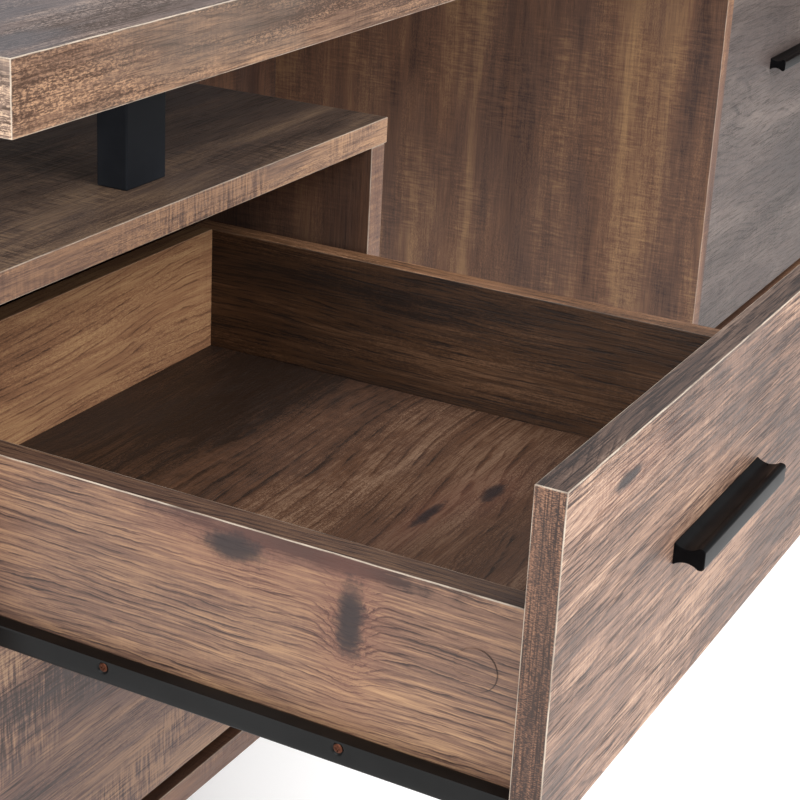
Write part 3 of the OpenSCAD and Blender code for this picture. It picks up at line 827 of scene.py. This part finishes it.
def stripOutline(stops, bend, steel, fineHeight):
    # a polyline with rounded corners, given half the steel's thickness to both sides, with close points
    # round the screws' height
    path = [np.array([stops[0]])]
    for before, corner, after in zip(stops[:-2], stops[1:-1], stops[2:]):
        before, corner, after = (np.array(p, float) for p in (before, corner, after))
        inward = (before - corner) / np.linalg.norm(before - corner)
        away = (after - corner) / np.linalg.norm(after - corner)
        centre = corner + (inward + away) * bend
        t = np.linspace(0, np.pi / 2, 5)[:, None]
        path.append(centre - away * bend * np.cos(t) - inward * bend * np.sin(t))
    path.append(np.array([stops[-1]]))
    path = np.concatenate(path)
    count = runner["fineSteps"]
    heights = np.arange(-count, count + 1) * runner["fineStep"] + fineHeight
    above = path[:, 1] - fineHeight
    webX = path[np.argmin(np.abs(above)), 0]
    cut = int(np.argmax(above[:-1] * above[1:] < 0)) + 1
    rising = path[cut, 1] > path[cut - 1, 1]
    web = np.stack([np.full(len(heights), webX), heights if rising else heights[::-1]], axis=1)
    path = np.concatenate([path[:cut], web, path[cut:]])
    tangent = np.gradient(path, axis=0)
    length = np.linalg.norm(tangent, axis=1, keepdims=True)
    normal = np.stack([-tangent[:, 1], tangent[:, 0]], axis=1) / length
    return np.concatenate([path + normal * steel / 2, (path - normal * steel / 2)[::-1]])


def fineStations(start, finishAt, places):
    # both ends, and close stations as far as the dish reaches on each side of every screw
    reach, step = runner["dishReach"], runner["fineStep"]
    lines = [np.arange(p - reach, p + reach + step / 2, step) for p in places]
    return np.unique(np.round(np.concatenate([[start, finishAt], *lines]), 7))


def pinParts(x, y, z, length, toward, r):
    # a roller pin with its riveted head, along X
    radii = [r["headRadius"] * share for share in (r["headRim"], 1, 1, r["headRim"])]
    head = [(toward * stop, radius) for stop, radius in zip(r["headStops"], radii)]
    shaft = [(0, r["pinRadius"]), (toward * length, r["pinRadius"])]
    end = x + toward * length
    return [spinProfile(shaft, (x, y, z), 0, 20), spinProfile(head, (end, y, z), 0, 20)]


def mirrorParts(parts, middle):
    # the parts, and the same parts with x mirrored at the middle and their faces turned over
    mirrored = []
    for points, faces, corners in parts:
        turned = points.copy()
        turned[:, 0] = 2 * middle - turned[:, 0]
        mirrored.append((turned, [list(f)[::-1] for f in faces], corners))
    return parts + mirrored


def rollerRing(x, y, z, r):
    # a wheel with rounded rims and a shallow groove in each face, bored for its pin
    rim, w = r["rollerRadius"], r["rollerWidth"]
    inner, floorIn, floorOut, outer = (rim * share for share in r["grooveStops"])
    section = [
        (0, r["bore"]), (0, inner), (r["groove"], floorIn), (r["groove"], floorOut), (0, outer),
        (0, rim - r["rimRadius"]), (r["rimStep"], rim - r["rimStep"]), (r["rimRadius"], rim)]
    loop = section + [(w - along, radius) for along, radius in section[::-1]]
    return [spinProfile(loop, (x, y, z), 0, 40, ring=True)]


screw = {
    "rings": (0.02, 0.1, 0.18, 0.26, 0.34, 0.42, 0.5, 0.56, 0.62, 0.72, 0.84, 0.93, 1.0),
    "domeFall": 0.75, "domePower": 2.6, "armHalf": 0.2, "armSlope": 0.09, "armReach": 0.62,
    "armEnd": 0.1, "sink": 0.55, "steps": 36,
}


def screwHead(place, axis, toward, radius, height):
    # a pan head: height x (root(1 - fall x reach to the power) - sink x cross)
    steps = screw["steps"]
    rings = np.array(screw["rings"])
    turn = np.arange(steps) * 2 * np.pi / steps
    a, b = np.outer(rings, np.cos(turn)).ravel(), np.outer(rings, np.sin(turn)).ravel()
    reach = np.hypot(a, b)
    dome = np.sqrt(np.clip(1 - screw["domeFall"] * reach ** screw["domePower"], 0, 1))
    arm = np.minimum(np.abs(a), np.abs(b))
    sunk = np.clip((screw["armHalf"] - arm) / screw["armSlope"], 0, 1)
    sunk = sunk * np.clip((screw["armReach"] - reach) / screw["armEnd"], 0, 1)
    up = height * (dome - screw["sink"] * sunk)
    top = np.stack([toward * up, a * radius, b * radius], axis=1)
    foot = np.stack([np.zeros(steps), np.cos(turn) * radius, np.sin(turn) * radius], axis=1)
    points = np.concatenate([top, foot])[:, axisOrder[axis]] + np.asarray(place, float)
    rows = len(rings) + 1
    faces = rowQuads(np.arange(rows - 1), np.arange(1, rows), steps) + endFaces(rows, steps)
    return points, faces, None


for drawer in drawers:
    r = runner
    low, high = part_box(drawer + "_runners")
    sideLow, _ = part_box(drawer + "_side_left")
    channelLow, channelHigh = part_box(drawer + "_cabinet_runners")
    middle = (low.x + high.x) / 2
    face, base = sideLow.x, sideLow.z
    half = r["steel"] / 2
    screwZ = base + r["screwHeight"]
    pinLength = r["rollerWidth"] + 2 * r["sidePlay"]
    frontBack = sideLow.y  # the back of the drawer front
    top = high.z - half
    foot = base - half
    stops = [(low.x, top), (face - half, top), (face - half, foot), (face + r["drawerFlange"], foot)]
    outline = stripOutline(stops, r["bend"], r["steel"], screwZ)
    places = [frontBack + p for p in r["screwPlaces"]]
    stations = fineStations(low.y, high.y, places)
    points, faces, _ = barAlong(1, outline[:, ::-1], stations)
    # the dish: full depth on its flat, none at its radius, on the outer face of the web only
    away = np.min([np.hypot(points[:, 1] - p, points[:, 2] - screwZ) for p in places], axis=0)
    dish = np.clip((r["dishRadius"] - away) / (r["dishRadius"] - r["dishFlat"]), 0, 1)
    dish = dish * (np.abs(points[:, 0] - (face - r["steel"])) < 1e-5)
    points[:, 0] += r["dishDepth"] * dish
    rearPlace = (face - r["steel"], high.y - r["rollerEnd"], base + r["rearHeight"])
    member = [(points, faces, None)] + pinParts(*rearPlace, pinLength, -1, r)
    strips = mirrorParts(member, middle)
    finish(drawer + "Runners", drawer + "_runners", runnerBlack, strips, r["stripSharp"])

    # the channel on the cabinet side
    webX, lipX = channelLow.x + half, channelLow.x + r["cabinetFlange"]
    upper, lower = channelHigh.z - half, channelLow.z + half
    stops = [(lipX, upper), (webX, upper), (webX, lower), (lipX, lower)]
    outline = stripOutline(stops, r["bend"], r["steel"], screwZ)
    channel = [barAlong(1, outline[:, ::-1], np.linspace(channelLow.y, channelHigh.y, 5))]
    frontPlace = (channelLow.x + r["steel"], channelLow.y + r["rollerEnd"], base + r["frontHeight"])
    channel += pinParts(*frontPlace, pinLength, 1, r)
    strips = mirrorParts(channel, middle)
    finish(drawer + "CabinetRunners", drawer + "_cabinet_runners", runnerBlack, strips, r["stripSharp"])

    rear = rollerRing(rearPlace[0] - r["sidePlay"] - r["rollerWidth"], rearPlace[1], rearPlace[2], r)
    front = rollerRing(frontPlace[0] + r["sidePlay"], frontPlace[1], frontPlace[2], r)
    for end, wheel in (("Rear", rear), ("Front", front)):
        node = drawer + "_" + end.lower() + "_rollers"
        wheels = mirrorParts(wheel, middle)
        finish(drawer + end + "Rollers", node, whiteNylon, wheels, r["rollerSharp"])

    headX = face - r["steel"] + r["dishDepth"]
    heads = [screwHead((headX, p, screwZ), 0, -1, *r["drawerScrew"]) for p in places]
    heads = mirrorParts(heads, middle)
    handleLow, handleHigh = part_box(drawer + "_handle")
    handleZ = (handleLow.z + handleHigh.z) / 2
    for side in (-1, 1):
        place = (middle + side * handle["screwSpread"], frontBack, handleZ)
        heads.append(screwHead(place, 1, 1, handle["screwRadius"], handle["screwHeight"]))
    finish(drawer + "Screws", drawer + "_screws", bronzeZinc, heads, r["screwSharp"])
print("runners, rollers and screws made")

channelScrews = []
for drawer in drawers:
    low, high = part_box(drawer + "_cabinet_runners")
    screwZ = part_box(drawer + "_side_left")[0].z + runner["screwHeight"]
    front = low.y - runner["cabinetSetback"]
    heads = [screwHead((low.x + runner["steel"], front + p, screwZ), 0, 1, *runner["cabinetScrew"])
             for p in runner["screwPlaces"]]
    channelScrews += mirrorParts(heads, (low.x + high.x) / 2)
finish("channelScrews", "runner_screws", bronzeZinc, channelScrews, runner["screwSharp"])

# caps: thin discs over the fasteners, printed like the drawer side they sit on
cap = {
    "radius": 0.011, "thickness": 0.0004, "back": 0.026, "drop": 0.038, "collar": 0.0005,
    "collarShare": 0.2, "shoulderShare": 0.8, "shoulder": 0.0002, "middle": 0.001, "steps": 64,
    # painted shade ring at the rim: its width inside the radius, and its gain and base towards the front
    "shadeRingInset": 0.0001, "shadeRingGain": 1.4, "shadeRingBase": 0.1, "noEdge": 0.01, "sharp": 30,
}


def capPart(node, x, toward, y, z):
    # a disc in the side's own printed sheet; a thin dark ring of painted shade round its rim, strongest in
    # front of its middle and fading out behind
    place = (x, y, z)
    t = toward * cap["thickness"]
    radius, wide = cap["radius"], cap["radius"] + cap["collar"]
    collar, shoulder = t * cap["collarShare"], t * cap["shoulderShare"]
    profile = [(0, wide), (collar, wide), (collar, radius), (shoulder, radius),
               (t, radius - cap["shoulder"]), (t, cap["middle"])]
    points, faces, _ = spinProfile(profile, place, 0, cap["steps"])
    flat = np.concatenate([np.asarray(f) for f in faces])
    cornerY, cornerZ = points[flat, 1], points[flat, 2]
    sheet = boardSheet[node] + blockSheets["side"] * toward
    grain = np.stack([cornerY, cornerZ, np.full(len(flat), sheet)], axis=1)
    # painted shade: a dark ring at the rim, passed as the edge-band value so that the side's Band Tint
    # darkens it, strongest in front of the middle
    reach = np.hypot(cornerY - y, cornerZ - z)
    frontShade = np.clip((y - cornerY) / radius * cap["shadeRingGain"] + cap["shadeRingBase"], 0, 1)
    groove = (reach > radius - cap["shadeRingInset"]) * frontShade
    clear = 0 * groove + cap["noEdge"]
    edge = np.stack([clear, clear, groove], axis=1)
    return points, faces, {"grainPlace": grain, "edgePlace": edge}


for drawer in drawers:
    low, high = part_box(drawer + "_side_left")
    _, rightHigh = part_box(drawer + "_side_right")
    y, z = low.y + cap["back"], high.z - cap["drop"]
    parts = [capPart(drawer + "_side_left", low.x, -1, y, z),
             capPart(drawer + "_side_right", rightHigh.x, 1, y, z)]
    points, faces, corners = joinParts(parts)
    caps = meshObject(drawer + "Caps", points, faces, corners, cap["sharp"])
    placePiece(caps, drawer + "_caps", bpy.data.materials[drawer + "_side_leftOak"])
print("caps made")


# steelwork

steel = {
    "postRadius": 0.0012, "tubeRadius": 0.0025, "railRadius": 0.002, "tubeThickness": 0.020,
    "postSize": (0.040, 0.022), "baseWidth": 0.040, "blockSteps": 4,
    "plateWidth": 0.040, "plateRadius": 0.0006, "plateSteps": 2,
}


def tubeLoop(low, high, thickness, radius, steps=4):
    # a rounded rectangle section carried round a mitred rectangle in the XZ plane
    width = high[1] - low[1]
    turn = np.linspace(0, np.pi / 2, steps + 1)
    corners = [(thickness - radius, width - radius), (radius, width - radius),
               (radius, radius), (thickness - radius, radius)]
    arcs = [np.stack([u + radius * np.cos(turn + k * np.pi / 2),
                      w + radius * np.sin(turn + k * np.pi / 2)], axis=1)
            for k, (u, w) in enumerate(corners)]
    section = np.concatenate(arcs)
    u, w = section[:, 0], section[:, 1]
    rows = [np.stack([x, low[1] + w, z], axis=1) for x, z in (
        (low[0] + u, low[2] + u), (high[0] - u, low[2] + u),
        (high[0] - u, high[2] - u), (low[0] + u, high[2] - u))]
    turnAt = np.arange(4)
    return np.concatenate(rows), rowQuads(turnAt, (turnAt + 1) % 4, len(section)), None


postLow, postHigh = (np.array(p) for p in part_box("posts"))
shelf = [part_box("cab_a_top"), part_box("cab_b_top")]
postWide, postDeep = steel["postSize"]
spans = []
for low, high in shelf:
    x = (low.x + high.x - postWide) / 2
    for y in (postLow[1], postHigh[1] - postDeep):
        spans.append(((x, y, postLow[2]), (x + postWide, y + postDeep, postHigh[2])))
steelBlocks("posts4", "posts", spans, 2, steel["postRadius"], steel["blockSteps"])

railLow, railHigh = (np.array(p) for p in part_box("return_rails"))
tube = steel["tubeThickness"]
spans = [((x, *railLow[1:]), (x + tube, *railHigh[1:])) for x in (railLow[0], railHigh[0] - tube)]
steelBlocks("returnRails", "return_rails", spans, 1, steel["railRadius"], steel["blockSteps"])

plateLow, plateHigh = (np.array(p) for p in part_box("joining_plates"))
wide = steel["plateWidth"]
spans = [((plateLow[0], y, plateLow[2]), (plateHigh[0], y + wide, plateHigh[2]))
         for y in (plateLow[1], plateHigh[1] - wide)]
steelBlocks("joiningPlates", "joining_plates", spans, 0, steel["plateRadius"], steel["plateSteps"])

for node in ("return_leg_front", "return_leg_rear", "cab_a_base", "cab_b_base"):
    low, high = (np.array(p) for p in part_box(node))
    wide = steel["baseWidth"]
    spans = [(low[1], low[1] + wide), (high[1] - wide, high[1])]
    if node.startswith("return"):
        spans = [(low[1], high[1])]
    loops = [tubeLoop((low[0], front, low[2]), (high[0], back, high[2]), tube, steel["tubeRadius"])
             for front, back in spans]
    finish(node.replace("_", "") + "Tube", node, blackSteel, loops)

glide = {"radius": 0.014, "height": 0.006, "inset": 0.020, "steps": 36,
         # height above the floor or below the top, then how far inside the radius
         "rim": ((0, 0.0025), (0.0004, 0.001), (0.0012, 0)), "topRim": ((0.0012, 0), (0, 0.001))}
glideProfile = [(up, glide["radius"] - inside) for up, inside in glide["rim"]]
glideProfile += [(glide["height"] - down, glide["radius"] - inside) for down, inside in glide["topRim"]]
glideParts = []
for node, count in (("cab_a_base", 2), ("cab_b_base", 2), ("return_leg_front", 1), ("return_leg_rear", 1)):
    low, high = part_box(node)
    for y in (low.y + glide["inset"], high.y - glide["inset"])[:count]:
        for x in (low.x + glide["radius"], high.x - glide["radius"]):
            glideParts.append(spinProfile(glideProfile, (x, y, 0), 2, glide["steps"]))
finish("glides12", "glides", blackPlastic, glideParts)

bolt = {
    "postSpread": 0.010, "postBolt": (0.006, 0.0036),  # radius, height
    "plateShares": (-0.38, -0.15, 0.15, 0.38), "plateSpan": 0.090, "plateBolt": (0.004, 0.002),
    "sharp": 40,
}
bolts = []
for low, high in shelf:
    x = (low.x + high.x) / 2
    for y in (postLow[1] + postDeep / 2, postHigh[1] - postDeep / 2):
        for side in (-1, 1):
            place = (x + side * bolt["postSpread"], y, low.z)
            bolts.append(screwHead(place, 2, -1, *bolt["postBolt"]))
seamX = (plateLow[0] + plateHigh[0]) / 2
plateMiddle = steel["plateWidth"] / 2
for y in (plateLow[1] + plateMiddle, plateHigh[1] - plateMiddle):
    for share in bolt["plateShares"]:
        place = (seamX + share * bolt["plateSpan"], y, plateLow[2])
        bolts.append(screwHead(place, 2, -1, *bolt["plateBolt"]))
finish("worktopBolts", "worktop_bolts", bronzeZinc, bolts, bolt["sharp"])
print("steelwork made")


# floor

sheet = {"halfWidth": 40, "lines": 9, "drop": 0.0005, "paint": 0.92, "rough": 0.9, "glow": 0.22}


def makeFloor(settings):
    # a wide level sheet just under the glides, pale and faintly glowing
    count = settings["lines"]
    side = np.linspace(-settings["halfWidth"], settings["halfWidth"], count)
    gx, gy = (g.ravel() for g in np.meshgrid(side, side, indexing="ij"))
    points = np.stack([gx, gy, np.full(len(gx), -settings["drop"])], axis=1)
    floor = meshObject("floor", points, gridQuads(count, count))
    material, tree, shader = newMaterial("paleFloor")
    paint = (settings["paint"],) * 3 + (1.0,)
    fill(tree, shader, {"Base Color": paint, "Roughness": settings["rough"],
                        "Emission Color": (1.0, 1.0, 1.0, 1.0), "Emission Strength": settings["glow"]})
    floor.data.materials.append(material)


makeFloor(sheet)
print("floor made")
